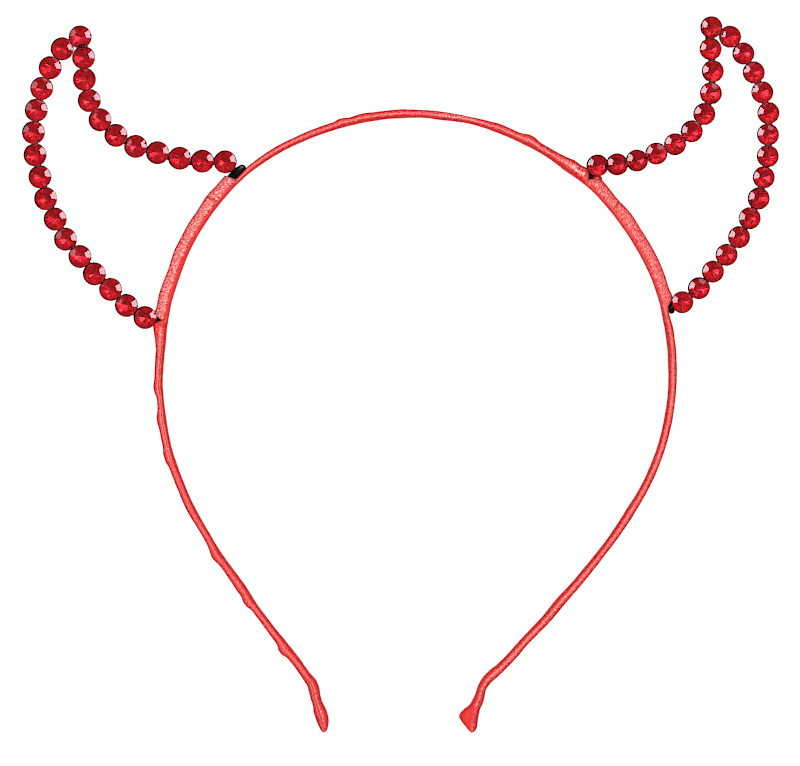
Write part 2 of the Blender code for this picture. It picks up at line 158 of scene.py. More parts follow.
# Where strokes of painted glint and painted shade lie on the strip's ribbon, by the rods'
# feet and its crossing at the crown: over what length to each side, in millimetres, and how
# strongly.
Glint = namedtuple("Glint", "along reach strength")
GLINTS = named_rows(Glint, (106.5, 2.8, 0.35), (203.5, 4, 1), (235, 2.8, 1))

# Inner and outer sides, as above, of the folded ribbon at both ends, from the tip inwards.
Edge = namedtuple("Edge", "from_end inner outer")
LEFT_END = named_rows(
    Edge, (0, -0.1, 1.25), (0.8, -0.25, 1.5), (1.5, -0.45, 1.8), (2.5, -0.7, 2.1),
    (3.5, -0.7, 2.35), (4.5, -0.55, 2.5), (5.5, -0.35, 2.65), (6.5, -0.05, 2.5),
    (7.5, 0.2, 2.4), (9, 0.05, 2.45), (10.5, -0.35, 2.25), (12.5, -0.5, 1.9), (14.5, 0, 2.1),
    (17, 0.15, 2.15),
)
RIGHT_END = named_rows(
    Edge, (0, 0.05, 1.25), (0.6, -0.45, 1.55), (1.2, -1.1, 1.7), (2.2, -2.15, 1.75),
    (3.1, -3, 1.7), (3.8, -2.9, 1.65), (5.2, -1.9, 1.65), (6.2, -0.9, 1.75), (7.2, -0.55, 2),
    (8.2, -0.3, 2.1), (9.2, -0.15, 2.05), (11.2, -0.2, 1.75), (13.2, -0.25, 1.9),
    (16, -0.15, 2.2), (18.5, 0.1, 2.2),
)

# Horn arms from the upper foot round the tip to the lower foot, as shares of the horn's
# reach (out, away from the middle of the headband) and of its rise (up).
Bend = namedtuple("Bend", "out up")
LEFT_ARMS = named_rows(
    Bend, (-0.154, 0.41), (-0.018, 0.408), (0.261, 0.453), (0.512, 0.539), (0.664, 0.704),
    (0.695, 0.903), (0.716, 1), (0.835, 0.935), (0.95, 0.754), (1, 0.542), (0.961, 0.336),
    (0.798, 0.036), (0.532, -0.201), (0.325, -0.335),
)
RIGHT_ARMS = named_rows(
    Bend, (-0.225, 0.363), (-0.088, 0.366), (0.051, 0.383), (0.313, 0.453), (0.529, 0.586),
    (0.6, 0.783), (0.587, 0.887), (0.59, 1), (0.718, 0.96), (0.893, 0.795), (1, 0.607),
    (0.995, 0.398), (0.864, 0.114), (0.609, -0.124), (0.403, -0.256),
)

# The ribbon over a rod near each foot, which it leaves free or covers in part: how far
# before the foot, in millimetres, and its width there as a share of its full width.
Cover = namedtuple("Cover", "before share")
LEFT_LOWER_COVER = named_rows(Cover, (-0.2, 0.3), (0, 0.36), (0.4, 0.78), (0.8, 0.95), (1.2, 1))
LEFT_UPPER_COVER = named_rows(Cover, (0.95, 0.2), (1.5, 0.62), (2.05, 1))
RIGHT_LOWER_COVER = named_rows(Cover, (-0.6, 0.3), (0.3, 0.38), (1.25, 0.6), (2.05, 1))
RIGHT_UPPER_COVER = named_rows(Cover, (-0.1, 0.3), (0.2, 0.4), (1.1, 0.74), (2, 1))

# A foot's bead of solder on the rod, in millimetres: how far it stands out, how much
# thicker it is, and over what length.
Bead = namedtuple("Bead", "out thicker length")

# A foot: its place as a share of the band's length, the rod's bare end past it in rod
# diameters, and the step within which the strip's own ribbon swells to its full thickness.
Foot = namedtuple("Foot", "at bare step cover bead")


class Horn(SimpleNamespace):
    """What sets one horn apart.

    wrap and wrap_inner are the binding's outer and inner sides, and one of its turns ends at
    fold, in millimetres along the hoop. glitter is the share of strokes on
    it, light ones of painted glint and dark ones of painted shade, and dullness and
    strip_dullness say how matt it and the strip beside it are. facet_turn is in degrees, and
    seed starts the stones' random draws. sway moves single stones to the left, in millimetres.
    bare_wire lies before the first cup, beyond the usual gap. crowding, a share, brings the
    upper arm's stones closer together towards the tip.
    """


HORNS = [
    Horn(
        side="left", outward=-1, rise=50.4 * MM, reach=39.5 * MM, arms=LEFT_ARMS,
        lower=Foot(0.28, 0.6, 1.2 * MM, LEFT_LOWER_COVER, Bead(0, 0.08, 1.2)),
        upper=Foot(0.3793, 1.9, 2.6 * MM, LEFT_UPPER_COVER, Bead(0.6, 0.35, 3.6)),
        wrap=LEFT_WRAP, wrap_inner=0.85 * MM, rib_height=0.035 * MM, fold=140.2,
        # The share of strokes of painted glint and painted shade on the binding comes first
        glitter=1, dullness=0.2, strip_dullness=0.8,
        facet_turn=20, stone_radius=2.66 * MM, seed=7,
        cup_gap=0.45 * MM, bare_wire=0.6 * MM, crowding=0.045,
        sway={2: -0.3, 4: 0.25, 12: 0.2, 18: -0.25, 20: -0.2, 22: -0.3, 24: 0.15},
    ),
    Horn(
        side="right", outward=1, rise=51.9 * MM, reach=33.3 * MM, arms=RIGHT_ARMS,
        lower=Foot(0.702, 0.7, 3.4 * MM, RIGHT_LOWER_COVER, Bead(0.55, 0, 2.6)),
        upper=Foot(0.6089, 0.6, 0.9 * MM, RIGHT_UPPER_COVER, Bead(0, 0.08, 1.2)),
        wrap=RIGHT_WRAP, wrap_inner=0.6 * MM, rib_height=0.05 * MM, fold=246.8,
        glitter=0.9, dullness=0.35, strip_dullness=0.4,
        facet_turn=160, stone_radius=2.54 * MM, seed=11,
        cup_gap=0.12 * MM, bare_wire=0, crowding=-0.07,
        sway={12: -0.2, 16: -0.45, 19: 0.2, 24: 0.2, 25: 0.2},
    ),
]


class Line:
    """A smooth plane curve through a few points, read by the distance along it.

    Each stretch is a cubic whose second derivative runs straight from one point's value
    to the next one's, and is zero at both ends of the curve.
    """

    SAMPLES = 60
    NEARBY = 0.5 * MM

    def __init__(self, points):
        through = np.array(points, dtype=float)
        span = np.linalg.norm(np.diff(through, axis=0), axis=1)
        bend = self.second_derivatives(through, span)[:, None, :]
        knots = through[:, None, :]
        length = span[:, None, None]
        after = length * np.linspace(0, 1, self.SAMPLES, endpoint=False)[None, :, None]
        before = length - after
        stretches = (
            (bend[:-1] * before**3 + bend[1:] * after**3) / (6 * length)
            + (knots[:-1] / length - bend[:-1] * length / 6) * before
            + (knots[1:] / length - bend[1:] * length / 6) * after
        )
        self.places = np.concatenate([stretches.reshape(-1, 2), through[-1:]])
        steps = np.linalg.norm(np.diff(self.places, axis=0), axis=1)
        self.distances = np.concatenate([[0], np.cumsum(steps)])
        self.length = self.distances[-1]

    @staticmethod
    def second_derivatives(through, span):
        count = len(through)
        row = np.arange(1, count - 1)
        matrix = np.eye(count)
        matrix[row, row - 1] = span[:-1]
        matrix[row, row] = 2 * (span[:-1] + span[1:])
        matrix[row, row + 1] = span[1:]
        slope = np.diff(through, axis=0) / span[:, None]
        right_side = np.zeros((count, 2))
        right_side[1:-1] = 6 * np.diff(slope, axis=0)
        return np.linalg.solve(matrix, right_side)

    def distance_of(self, index):
        """Distance along the curve to one of the points that it was drawn through."""
        return self.distances[index * self.SAMPLES]

    def point(self, distance):
        both = [np.interp(distance, self.distances, column) for column in self.places.T]
        return np.stack(both, axis=-1)

    def direction(self, distance):
        near = self.point(np.maximum(distance - self.NEARBY, 0))
        far = self.point(np.minimum(distance + self.NEARBY, self.length))
        return (far - near) / np.linalg.norm(far - near, axis=-1, keepdims=True)

    def left_of(self, distance):
        """Unit vectors to the left of the curve, which is the hoop's outer side."""
        ahead = self.direction(distance)
        return np.stack([-ahead[..., 1], ahead[..., 0]], axis=-1)

    def offset(self, distance, out):
        return self.point(distance) + np.asarray(out)[..., None] * self.left_of(distance)


def arms_line(horn, hoop):
    """The two arms as one curve, which starts and ends on the rod's middle."""
    feet = np.array([horn.upper.at, horn.lower.at]) * hoop.length
    upper, lower = hoop.offset(feet, np.full(2, ROD_OUT))
    middle = (upper + lower) / 2
    bends = middle + np.array([horn.outward * horn.reach, horn.rise]) * np.array(horn.arms)
    return Line([upper, *bends, lower])


def stone_distances(horn, arms):
    """Stone centres from the upper foot to the lower, one of them on the tip."""
    heights = [row.up for row in horn.arms]
    tip = arms.distance_of(heights.index(max(heights)) + 1)
    pitch = 2 * CUP_RADIUS + horn.cup_gap
    first = FOOT_TO_STONE + horn.bare_wire
    share = np.linspace(0, 1, round((tip - first) / pitch) + 1)
    inner = first + (tip - first) * (share + horn.crowding * share * (1 - share))
    last = arms.length - FOOT_TO_STONE
    outer = np.linspace(tip, last, round((last - tip) / pitch) + 1)
    return np.concatenate([inner, outer[1:]])


def placed_feet(horn, hoop):
    """The horn's feet in the hoop's order, each after its distance along the hoop."""
    return [(foot.at * hoop.length, foot) for foot in sorted([horn.lower, horn.upper])]


def rod_span(horn, hoop):
    """Where the horn's rod starts and ends, as distances along the hoop."""
    (start, first), (end, last) = placed_feet(horn, hoop)
    return start - 2 * ROD_RADIUS * first.bare, end + 2 * ROD_RADIUS * last.bare


def wrap_span(horn, hoop):
    """Where the ribbon over the rod starts and ends, as distances along the hoop."""
    (start, first), (end, last) = placed_feet(horn, hoop)
    return start + first.cover[0].before * MM, end - last.cover[0].before * MM


def wrap_share(along, horn, hoop):
    """The ribbon's width over the rod as a share of its full width, from both covers."""
    (start, first), (end, last) = placed_feet(horn, hoop)
    share = np.interp((along - start) / MM, *np.array(first.cover).T)
    return share * np.interp((end - along) / MM, *np.array(last.cover).T)


def eased(share):
    """Rises smoothly from 0 to 1: three times the square less twice the cube."""
    share = np.clip(share, 0, 1)
    return share * share * (3 - 2 * share)


def drift(place, seed):
    """A slow, uneven wave between about -1 and 1: three sines of unlike lengths."""
    return (
        np.sin(place + 1.7 * seed)
        + 0.6 * np.sin(2.17 * place + 2.9 * seed)
        + 0.4 * np.sin(4.71 * place + 0.6 * seed)
    ) / 2


def bell(distance, width):
    """1 at no distance, and e to minus the square of distance over width on both sides."""
    return np.exp(-((distance / width) ** 2))


def headings(angles):
    """Unit vectors: the cosine and the sine of each angle."""
    return np.stack([np.cos(angles), np.sin(angles)], axis=-1)


def carried(line, distances, out, height):
    """Points at distances along a line, out to its left and up, as (rings, columns, 3)."""
    flat = line.point(distances)[:, None, :] + out[..., None] * line.left_of(distances)[:, None, :]
    return np.concatenate([flat, height[..., None]], axis=-1)


def skin_faces(rings, columns):
    """Faces of a closed skin through rings of points: quads ring by ring, and both caps."""
    row, column = np.indices((rings - 1, columns))
    here = row * columns + column
    beside = row * columns + (column + 1) % columns
    quads = np.stack([here, beside, beside + columns, here + columns], axis=-1).reshape(-1, 4)
    first = list(range(columns))[::-1]
    last = list(range((rings - 1) * columns, rings * columns))
    return [*quads.tolist(), first, last]


def joined(shapes):
    """Several shapes as one: all their points, and their faces numbered on."""
    faces = []
    base = 0
    for points, own_faces in shapes:
        faces += [[corner + base for corner in face] for face in own_faces]
        base += len(points)
    return np.concatenate([points for points, _ in shapes]), faces


def linked(name, data):
    """An object of the scene, at the origin."""
    made = bpy.data.objects.new(name, data)
    bpy.context.scene.collection.objects.link(made)
    return made


def piece(name, points, faces, materials, material_of=None):
    """A piece of the part, which rides on its one body. One with two materials is faceted."""
    mesh = bpy.data.meshes.new(name)
    mesh.from_pydata(points, [], faces)
    mesh.validate()
    for finish in materials:
        mesh.materials.append(finish)
    mesh.polygons.foreach_set("use_smooth", np.full(len(mesh.polygons), material_of is None))
    if material_of is not None:
        mesh.polygons.foreach_set("material_index", material_of)
    made = linked(name, mesh)
    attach(made, "root")
    return made


def sleeve(name, points, along, around, finish, **marks):
    """A closed skin through rings of points, both ends capped, with its own UV map and marks.

    U is the distance along and V the distance around, in centimetres, so that one cloth
    pattern has one scale on every piece. A mark keeps a number from 0 to 1 for each point:
    the painted shade mark darkens the colour as painted shade, side is matt, and the stroke
    mark has strokes of painted glint and painted shade.
    """
    rings, columns = points.shape[:2]
    made = piece(name, points.reshape(-1, 3), skin_faces(rings, columns), [finish])
    row, column = np.indices((rings - 1, columns))
    corner_rows = np.stack([row, row, row + 1, row + 1], axis=-1).ravel()
    corner_columns = np.stack([column, column + 1, column + 1, column], axis=-1).ravel()
    u = np.concatenate([along[corner_rows], np.zeros(columns), np.full(columns, along[-1])])
    v = np.concatenate([around[corner_columns], around[:-1], around[:-1]])
    uv = np.stack([u, v], axis=-1) * CM_IN_METRE
    layer = made.data.uv_layers.new(name="ribbon")
    layer.uv.foreach_set("vector", uv.astype(np.float32).ravel())
    for key, values in marks.items():
        attribute = made.data.attributes.new(key, "FLOAT", "POINT")
        spread = np.broadcast_to(values, (rings, columns))
        attribute.data.foreach_set("value", spread.astype(np.float32).ravel())
    return made


# Satin ribbon round the strip. Values without MM are shares or millimetres.
GATHER_SPREAD = 1.25
USUAL_HALF_WIDTH = 1.07
CREASE_WIDTH = 0.16
RIPPLE_PITCH = 1.35
RIPPLE_SLANT = 0.9
RIPPLE_HEIGHT = 0.035 * MM
EDGE_WANDER = 0.05 * MM
CROSSING = 198.5 * MM
CROSSING_WIDTH = 0.25 * MM
WORN = (12 * MM, 78 * MM)


def beside_rods(along, hoop):
    """How far the strip's ribbon gives room to a rod, is bound to it and is dull, from 0 to 1."""
    thin, bound, dull = np.zeros((3, len(along)))
    for horn in HORNS:
        start, end = rod_span(horn, hoop)
        before, after = [foot.step for foot in sorted([horn.lower, horn.upper])]
        into = np.minimum((along - start + before) / before, (end + after - along) / after)
        thin = np.maximum(thin, eased(into))
        start, end = wrap_span(horn, hoop)
        under = eased(np.minimum(along - start, end - along) / MM)
        bound = np.maximum(bound, under)
        dull = np.maximum(dull, under * horn.strip_dullness)
    return thin, bound, dull


def gathered(distance):
    """Sum of the gathers: each is its height times e to minus the distance's power."""
    total = np.zeros_like(distance)
    for row in GATHERS:
        away = np.abs(distance - row.along * MM) / (row.length / 2 * MM * GATHER_SPREAD)
        total += row.height * MM * np.exp(-(away**row.sharp))
    return total


def evened(rows, places, spread):
    """A table's later columns, read at each place and averaged over a spread about it."""
    table = np.array(rows) * MM
    nearby = places[:, None] + np.linspace(-0.5, 0.5, 9) * spread
    return [np.interp(nearby, table[:, 0], column).mean(axis=1) for column in table.T[1:]]


def band_section():
    """The strip's section: across from 1 outside to -1 inside, its height, and its marks.

    The front edge is level here. Below it both sides run straight down to a flat back with
    rounded corners. Its painted shade is 1 in the dark line painted just inside each edge,
    and side is 1 down the sides and over the back.
    """
    front = np.cos(np.radians(np.linspace(0, 180, 25)))
    level = np.full_like(front, BAND_DEPTH)
    # A dark line of painted shade just inside each edge
    painted_edge_shade = bell(np.abs(front) - 0.80, 0.14)
    at_edge = np.clip((np.abs(front) - 0.93) / 0.07, 0, 1)

    side = np.linspace(0.12, 0.80, 4) * BAND_DEPTH
    turn = np.radians([90, 60, 30, 0])
    corner = 1 - 0.16 * (1 - np.cos(turn))
    foot = 0.3 * MM * (1 - np.sin(turn))
    across = np.concatenate([np.ones(4), front, -np.ones(4), -corner[::-1], corner])
    height = np.concatenate([side, level, side[::-1], foot[::-1], foot])
    hollow = np.concatenate([np.zeros(4), painted_edge_shade, np.zeros(12)])
    sides = np.concatenate([np.ones(4), at_edge, np.ones(12)])
    return across, height, hollow, sides


def creased(along):
    """How far out the front edge's crease lies, and how deep, at distances along the hoop."""
    places, out, depth = np.array(CREASES).T
    return np.interp(along / MM, places, out), np.interp(along / MM, places, depth) * MM


def band_edges(along, hoop, thin):
    """The ribbon's inner and outer sides: first plain, then with gathers, folds and ends."""
    inner, outer = evened(SIDES, along, 2.4 * MM)
    (room,) = evened(ROOM, along, 1.0 * MM)
    outer = outer + (room - outer) * thin
    plain = inner, outer
    outer = outer + gathered(along)
    for fold in (LEFT_FLAP, RIGHT_LUMP):
        (folded,) = evened(fold, along, 0.4 * MM)
        outer = np.maximum(outer, folded)
    for rows, from_end in ((LEFT_END, along), (RIGHT_END, hoop.length - along)):
        folded_inner, folded_outer = evened(rows, from_end, 0.8 * MM)
        at_end = eased((rows[-1].from_end * MM - from_end) / (2 * MM))
        inner = inner + (folded_inner - inner) * at_end
        outer = outer + (folded_outer - outer) * at_end
    return plain, (inner, outer)


def satin_band(hoop, finish):
    """The ribbon round the strip: the section carried along the hoop, swelled by its gathers.

    Its front edge falls from the middle to both sides as half an ellipse, by its rise times
    one less the root of one less the square of across. Beside a bound rod it falls from
    its outer side alone. A slanting ripple and a lengthwise crease lie on it.
    """
    ends = END_ROUNDING * (1 - np.cos(np.linspace(0, math.pi / 2, 9)))[:-1]
    middle_run = np.linspace(END_ROUNDING, hoop.length - END_ROUNDING, 2000)
    along = np.concatenate([ends, middle_run, (hoop.length - ends)[::-1]])
    across, level, hollow, sides = band_section()
    thin, bound, dull = beside_rods(along, hoop)
    (plain_inner, plain_outer), (inner, outer) = band_edges(along, hoop, thin)

    # Out from the hoop's inner side, drawn in where the two ends close
    to_end = np.minimum(along, hoop.length - along)
    full = np.sqrt(np.maximum(1 - np.maximum(1 - to_end / END_ROUNDING, 0) ** 2, 0.02))
    half = ((outer - inner) / 2 * full)[:, None]
    out = ((inner + outer) / 2)[:, None] + half * across

    # Height, with the front edge's fall, ripple and crease
    front = (level == BAND_DEPTH) * np.ones_like(out)
    on_front = front * np.sqrt(1 - across**2)
    rise = FRONT_RISE * np.clip(half / MM, 0.2, 1.2)
    both_sides = rise * (1 - np.sqrt(1 - across**2))
    one_side = 0.7 * FRONT_RISE * (1 - np.sqrt(1 - ((1 - across) / 2) ** 2))
    height = level - front * (both_sides + (one_side - both_sides) * bound[:, None])
    ripple = np.sin(2 * math.pi * (along[:, None] / RIPPLE_PITCH + out * RIPPLE_SLANT) / MM)
    ripple = ripple * (0.5 + 0.5 * np.clip(drift(along / (9 * MM), 1), 0, 1))[:, None]
    height = height + RIPPLE_HEIGHT * ripple * on_front
    crease_out, crease_depth = creased(along)
    crease = bell(across - crease_out[:, None], CREASE_WIDTH) * on_front
    height = height - crease_depth[:, None] * crease
    edge = (np.abs(across) > 0.9) * np.sign(across)
    out = out + EDGE_WANDER * drift(along[:, None] / (2.1 * MM) + level / MM, 2) * edge

    # Painted shade beside the edges, in the ripple's valleys, in creases and at the
    # crossing, and a darker red towards both ends
    edges = hollow * (1 - bound[:, None] * (across > 0))
    valleys = np.clip(-ripple * 1.6 - 0.6, 0, 1) * on_front * np.clip(0.4 - across, 0, 1)
    creases = crease * (crease_depth > 0.02 * MM)[:, None]
    crossing = 0.7 * bell(along - CROSSING, CROSSING_WIDTH)[:, None] * on_front
    at_ends = 0.5 * np.clip(5.5 - to_end / (3 * MM), 0, 1)[:, None] * on_front
    creases = np.maximum.reduce([creases, crossing, at_ends])

    # Matt where it puffs out, beside the rods and where it is worn, and then the strokes of
    # painted glint and painted shade
    swelled = np.clip(np.maximum(outer - plain_outer, plain_inner - inner) / (0.2 * MM), 0, 1)
    beyond = np.maximum(out - plain_outer[:, None], plain_inner[:, None] - out) / (0.5 * MM) + 1
    puffed = swelled[:, None] * np.clip(beyond, 0, 1) * front * (1 - 0.8 * hollow)
    worn = 0.2 * np.clip(np.minimum(along - WORN[0], WORN[1] - along) / (3 * MM), 0, 1)
    duller = np.maximum(dull * thin, worn)[:, None] * on_front
    # Strokes of painted glint and painted shade by the rods' feet and at the crossing
    glints = sum(row.strength * bell(along - row.along * MM, row.reach * MM) for row in GLINTS)
    painted_stroke_share = np.clip(glints, 0, 1)[:, None] * (across > -0.3)

    rim = np.stack([across * USUAL_HALF_WIDTH * MM, level], axis=-1)
    around = np.append(0, np.cumsum(np.linalg.norm(np.diff(rim, axis=0), axis=1)))
    made = sleeve(
        "ribbon_band",
        carried(hoop, along, out, height),
        along,
        np.append(around, around[-1] + 0.5 * MM),
        finish,
        hollow=np.maximum.reduce([edges, valleys, creases * 0.8]),
        side=np.maximum(np.maximum(sides, duller), 0.7 * puffed),
        glitter=np.clip(painted_stroke_share + 0.25, 0, 1),
    )
    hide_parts("satin_band")
    return made


# Satin ribbon over the rods. Values without MM are shares or millimetres.
RIB_PITCH = 0.62 * MM
FOLD_DEPTH = 0.1 * MM
FOLD_WIDTH = 0.26 * MM
FOLD_LINE_WIDTH = 0.22 * MM
FOLD_SLANT = 0.25
WRAP_SWELL = 0.1 * MM
WRAP_RADIUS = 2.5
TUCK_RADIUS = 1.05 * MM


def horn_wrap(horn, hoop, finish):
    """The ribbon over the rod: half a squarish ellipse, closed by a flat side at the strip.

    Out from the strip it reaches its width times the sine to the power 0.6, and up and
    down half the strip's depth times the cosine to the power 0.3. Fine ribs run round it,
    and a shallow groove with a dark line of painted shade runs across it where one of its
    turns ends. Painted shade also lies along its outer rim and beside the strip.
    """
    start, end = wrap_span(horn, hoop)
    along = np.linspace(start, end, 320)
    turn = np.linspace(0, math.pi, 30)
    to_end = np.minimum(along - start, end - along) / (0.6 * MM)
    full = np.sqrt(np.clip(1 - np.clip(1 - to_end, 0, 1) ** 2, 0.03, 1))[:, None]
    (outer,) = evened(horn.wrap, along, 1.0 * MM)
    reach = (outer + WRAP_SWELL - horn.wrap_inner) * wrap_share(along, horn, hoop)
    out = horn.wrap_inner + reach[:, None] * np.sin(turn) ** 0.6
    upward = np.sign(np.cos(turn)) * np.abs(np.cos(turn)) ** 0.3
    height = WIRE_HEIGHT + (BAND_DEPTH / 2 - 0.04 * MM) * upward * np.ones_like(out)
    slide = 0.8 * drift(along / (5 * MM), 3)[:, None]
    ribs = np.sin(2 * math.pi * (along[:, None] / RIB_PITCH + 1.8 * turn + slide))
    from_fold = (along - horn.fold * MM)[:, None]
    lift = horn.rib_height * ribs * np.sin(turn) - FOLD_DEPTH * bell(from_fold, FOLD_WIDTH)
    out = ROD_OUT + (out + lift * np.sin(turn) - ROD_OUT) * full
    height = height + lift * np.cos(turn)
    height = WIRE_HEIGHT + (height - WIRE_HEIGHT) * (0.4 + 0.6 * full)

    # Painted shade along the outer rim, beside the strip and in the groove where a turn ends
    spread = np.sin(turn[::-1]) ** 0.6
    rim = 0.8 * bell(spread - 0.91, 0.06)
    strip_shade = 0.5 * np.clip(1 - spread / 0.25, 0, 1) * (turn[::-1] < math.pi / 2)
    fold = bell(from_fold + FOLD_SLANT * (out - ROD_OUT), FOLD_LINE_WIDTH)
    made = sleeve(
        "ribbon_wrap_" + horn.side,
        carried(hoop, along, out, height)[:, ::-1],
        along,
        np.append(turn * WRAP_RADIUS * MM, math.pi * WRAP_RADIUS * MM + BAND_DEPTH),
        finish,
        hollow=np.maximum(np.maximum(rim, strip_shade), fold),
        side=np.maximum(horn.dullness, np.clip((spread - 0.93) / 0.05, 0, 1)),
        glitter=horn.glitter,
    )
    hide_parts("horn_wrap_" + horn.side)
    return made


def foot_binding(horn, hoop, finish):
    """The end of the ribbon, tucked in under the first stone: a short sleeve with round ends."""
    foot = horn.upper.at * hoop.length
    sides = 28
    run, radii = rounded_ends(foot + 0.4 * MM, foot + 2.6 * MM, TUCK_RADIUS, 12)
    points = tube_points(hoop, run, ROD_OUT + 1.1 * MM, radii, sides, WIRE_HEIGHT + 0.9 * MM)
    around = np.linspace(0, 2 * math.pi * TUCK_RADIUS, sides + 1)
    name = "ribbon_tuck_" + horn.side
    # The tuck lies under the stone: painted shade all over it, as a deeper red
    made = sleeve(name, points, run - run[0], around, finish, hollow=0.6, side=0, glitter=0.2)
    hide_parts("horn_wrap_" + horn.side)
    return made


# Black wire


def tube_points(line, distances, out, radii, sides, height):
    """Rings round a path: radius times the cosine to its left and times the sine upwards."""
    turn = np.linspace(0, 2 * math.pi, sides, endpoint=False)
    across = out + radii[:, None] * np.cos(turn)
    return carried(line, distances, across, height + radii[:, None] * np.sin(turn))


def rounded_ends(start, end, radius, count):
    """Distances and radii of a rod whose ends are half balls a little flattened."""
    turn = np.linspace(0.08, math.pi / 2, 9)
    cap = 0.8 * radius * (1 - np.cos(turn))
    cap = cap - cap[0]
    shrink = radius * np.sin(turn)
    even = np.linspace(start + cap[-1], end - cap[-1], count)[1:-1]
    distances = np.concatenate([start + cap, even, (end - cap)[::-1]])
    radii = np.concatenate([shrink, np.full(count - 2, radius), shrink[::-1]])
    return distances, radii


def horn_wire(horn, hoop, arms, finish):
    """The arms' wire and the rod that its feet are soldered to, with a bead of solder each."""
    sides = 18
    arm_run = np.linspace(0, arms.length, 420)
    arm = tube_points(arms, arm_run, 0.0, np.full_like(arm_run, ARM_RADIUS), sides, WIRE_HEIGHT)
    start, end = rod_span(horn, hoop)
    rod_run, rod_radii = rounded_ends(start, end, ROD_RADIUS, 90)
    feet = np.array([horn.lower.at, horn.upper.at]) * hoop.length
    out, thicker, length = np.array([horn.lower.bead, horn.upper.bead]).T
    near_foot = bell(rod_run[:, None] - feet, length * MM)
    rod_out = ROD_OUT + near_foot @ out * MM
    rod_radii = rod_radii * (1 + near_foot @ thicker * MM / ROD_RADIUS)
    rod = tube_points(hoop, rod_run, rod_out[:, None], rod_radii, sides, WIRE_HEIGHT)
    tubes = [(tube.reshape(-1, 3), skin_faces(len(tube), sides)) for tube in (arm, rod)]
    made = piece("horn_wire_" + horn.side, *joined(tubes), [finish])
    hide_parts("horn_frame_" + horn.side)
    return made


# Stone chain. A stone's table and crown are of glass, and its girdle and pavilion of foil.
GLASS = 0
FOIL = 1
FACETS = 8
FACET_STEPS = 4
GIRDLE_POINTS = FACETS * FACET_STEPS
BACK_POINTS = GIRDLE_POINTS + 1
GIRDLE_BAND = 0.12 * MM

# A cup's profile: its radius and height, in millimetres, from its foot over its rim inside
CUP_PROFILE = [
    (1.55, 0), (2.02, 0.1), (2.12, 0.35), (2.3, 1.1), (2.5, 1.6), (2.63, 1.85),
    (2.65, 1.97), (2.58, 2), (2.54, 1.95), (2.54, 1.55), (1.2, 0.32),
]
CUP_SIDES = 24

# A claw's and a link's path, along and up, and their widths, in millimetres
CLAW = [
    (2.4, 0.9, 0.8), (2.52, 1.6, 0.75), (2.6, 2, 0.6), (2.58, 2.14, 0.5), (2.52, 2.22, 0.4),
    (2.44, 2.27, 0.25),
]
CLAW_ANGLES = [38, 142, 218, 322]
LINK = [(-0.95, 0.75, 2.3), (-0.55, 0.95, 1.9), (0, 1.02, 1.6), (0.55, 0.95, 1.9), (0.95, 0.75, 2.3)]

# How unlike the stones are: turns in radians, tilt in degrees, and the rest in millimetres
FACET_SPREAD = 0.14
BACK_SPREAD = 0.35
CULET_SPREAD = 0.3
PAVILION_DROP = 0.25
TILT_SPREAD = 3
PLACE_SPREAD = 0.05


def set_down(shape, faces, places, directions, height):
    """Copies of one shape, each turned along its direction and set down at its place."""
    x, y, z = shape.T[:, None, :]
    cosine, sine = directions.T[:, :, None]
    right = x * cosine - y * sine + places[:, :1]
    up = x * sine + y * cosine + places[:, 1:]
    points = np.stack([right, up, np.broadcast_to(z + height, up.shape)], axis=-1)
    starts = range(0, len(places) * len(shape), len(shape))
    all_faces = [[corner + start for corner in face] for start in starts for face in faces]
    return points.reshape(-1, 3), all_faces


def stone_shape():
    """A round stone with an octagonal table, eight flat crown facets and a pavilion.

    On the girdle's cylinder a facet's plane stands at the table's height less its slope
    times the distance beyond the table's side, which gives the girdle its scallops.
    """
    facet = 2 * math.pi / FACETS
    turn = np.arange(GIRDLE_POINTS) * 2 * math.pi / GIRDLE_POINTS
    from_middle = (turn + facet / 2) % facet - facet / 2
    table_side = TABLE_RADIUS * math.cos(facet / 2)
    slope = (TABLE_HEIGHT - GIRDLE_HEIGHT) / (STONE_RADIUS - table_side)
    crown_edge = TABLE_HEIGHT - slope * (STONE_RADIUS * np.cos(from_middle) - table_side)
    pavilion_slope = (GIRDLE_HEIGHT - GIRDLE_BAND - CULET_HEIGHT) / STONE_RADIUS
    pavilion_edge = CULET_HEIGHT + pavilion_slope * STONE_RADIUS * np.cos(from_middle)
    ring = headings(turn) * STONE_RADIUS
    table = headings((np.arange(FACETS) + 0.5) * 2 * math.pi / FACETS) * TABLE_RADIUS
    flat = np.concatenate([table, ring, ring, [[0, 0]]])
    levels = [np.full(FACETS, TABLE_HEIGHT), crown_edge, pavilion_edge, [CULET_HEIGHT]]
    points = np.column_stack([flat, np.concatenate(levels)])
    reach = range(-FACET_STEPS // 2, FACET_STEPS // 2 + 1)
    arcs = [[(side * FACET_STEPS + k) % GIRDLE_POINTS for k in reach] for side in range(FACETS)]
    upper = FACETS
    lower = FACETS + GIRDLE_POINTS
    culet = len(points) - 1
    faces = [list(range(FACETS))]
    for side, arc in enumerate(arcs):
        faces.append([upper + k for k in arc] + [side, (side - 1) % FACETS])
    for k in range(GIRDLE_POINTS):
        after = (k + 1) % GIRDLE_POINTS
        faces.append([lower + k, lower + after, upper + after, upper + k])
    for arc in arcs:
        faces.append([lower + k for k in arc][::-1] + [culet])
    kinds = [GLASS] * (1 + FACETS) + [FOIL] * (GIRDLE_POINTS + FACETS)
    return points, faces, kinds


def cup_shape():
    """A turned cup: its profile carried round the upright axis, closed at both poles."""
    radius, z = np.array(CUP_PROFILE).T[:, :, None] * MM
    turn = np.arange(CUP_SIDES) * 2 * math.pi / CUP_SIDES
    x, y = radius * np.cos(turn), radius * np.sin(turn)
    points = np.stack([x, y, np.broadcast_to(z, x.shape)], axis=-1)
    return points.reshape(-1, 3), skin_faces(len(CUP_PROFILE), CUP_SIDES)


